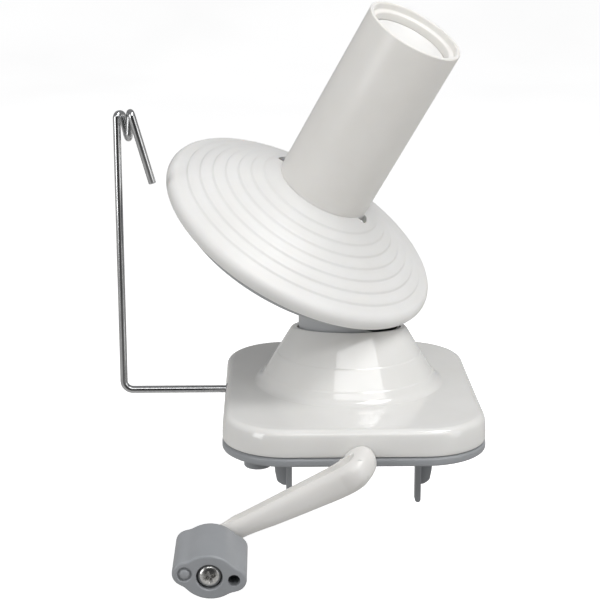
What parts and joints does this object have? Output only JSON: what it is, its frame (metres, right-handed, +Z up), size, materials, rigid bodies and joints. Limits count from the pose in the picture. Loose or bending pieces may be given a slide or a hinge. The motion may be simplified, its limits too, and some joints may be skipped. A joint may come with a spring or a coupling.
{
  "type": "yarn ball winder",
  "caption": "Hand-crank yarn ball winder with a square base, conical neck, inclined ridged disc and tube, wire yarn guide and oval crank knob.",
  "frame": {"origin": "on the flat tray underside, at the middle of the clamp seat between the two fork legs; the rotor axis is 45 mm behind it", "axes": "+Z up, parallel to the rotor axis, -Y towards the crank side, +X to the right when facing the crank side"},
  "size_m": [0.1575, 0.1967, 0.2185],
  "materials": {
    "white_gloss": "gloss",
    "white_satin": "satin",
    "grey_plastic": "satin",
    "grey_pad": "matte",
    "gear_nylon": "matte",
    "axle_steel": "brushed",
    "screw_steel": "polished",
    "guide_chrome": "polished"
  },
  "bodies": {
    "base": {"base_cover": "white_gloss", "base_tray": "grey_plastic", "clamp_fork_left": "grey_plastic", "clamp_fork_right": "grey_plastic", "foot_pad": "grey_pad", "tray_screws": "screw_steel", "crank_bushes": "gear_nylon", "centre_post": "axle_steel", "sun_gear": "gear_nylon", "post_nut": "screw_steel", "thrust_washer": "gear_nylon", "guide_bush": "gear_nylon"},
    "rotor": {"rotor_body": "grey_plastic", "rotor_pinion": "gear_nylon", "spindle_axle": "axle_steel", "axle_nut": "screw_steel"},
    "spindle": {"winding_disc": "white_satin", "winding_tube": "white_satin", "tube_cap": "white_satin", "planet_gear": "gear_nylon", "disc_screws": "screw_steel"},
    "crank": {"crank_shaft": "axle_steel", "crank_gear": "gear_nylon", "crank_arm": "white_gloss", "knob_screw": "screw_steel"},
    "handle": {"knob": "grey_plastic", "knob_peg": "grey_plastic"},
    "guide": {"yarn_guide": "guide_chrome"}
  },
  "joints": [
    {"name": "rotor_turn", "type": "hinge", "parent": "base", "child": "rotor", "pos_m": [0, 0.045, 0.03], "axis": [0, 0, 1], "continuous": true},
    {"name": "spindle_turn", "type": "hinge", "parent": "rotor", "child": "spindle", "pos_m": [0, 0.045, 0.122], "axis": [0.4436, -0.2992, 0.8448], "continuous": true},
    {"name": "crank_turn", "type": "hinge", "parent": "base", "child": "crank", "pos_m": [0, -0.025, 0.0046], "axis": [0, -1, 0], "continuous": true},
    {"name": "knob_turn", "type": "hinge", "parent": "crank", "child": "handle", "pos_m": [-0.05898, -0.045, -0.02676], "axis": [0, -1, 0], "continuous": true},
    {"name": "guide_swing", "type": "hinge", "parent": "base", "child": "guide", "pos_m": [-0.06, 0.041, 0.0124], "axis": [1, 0, 0], "range_deg": [-75, 15]}
  ],
  "couplings": [
    {"joint": "spindle_turn", "follows": "rotor_turn", "ratio": 0.70833},
    {"joint": "crank_turn", "follows": "rotor_turn", "ratio": -0.4375}
  ]
}
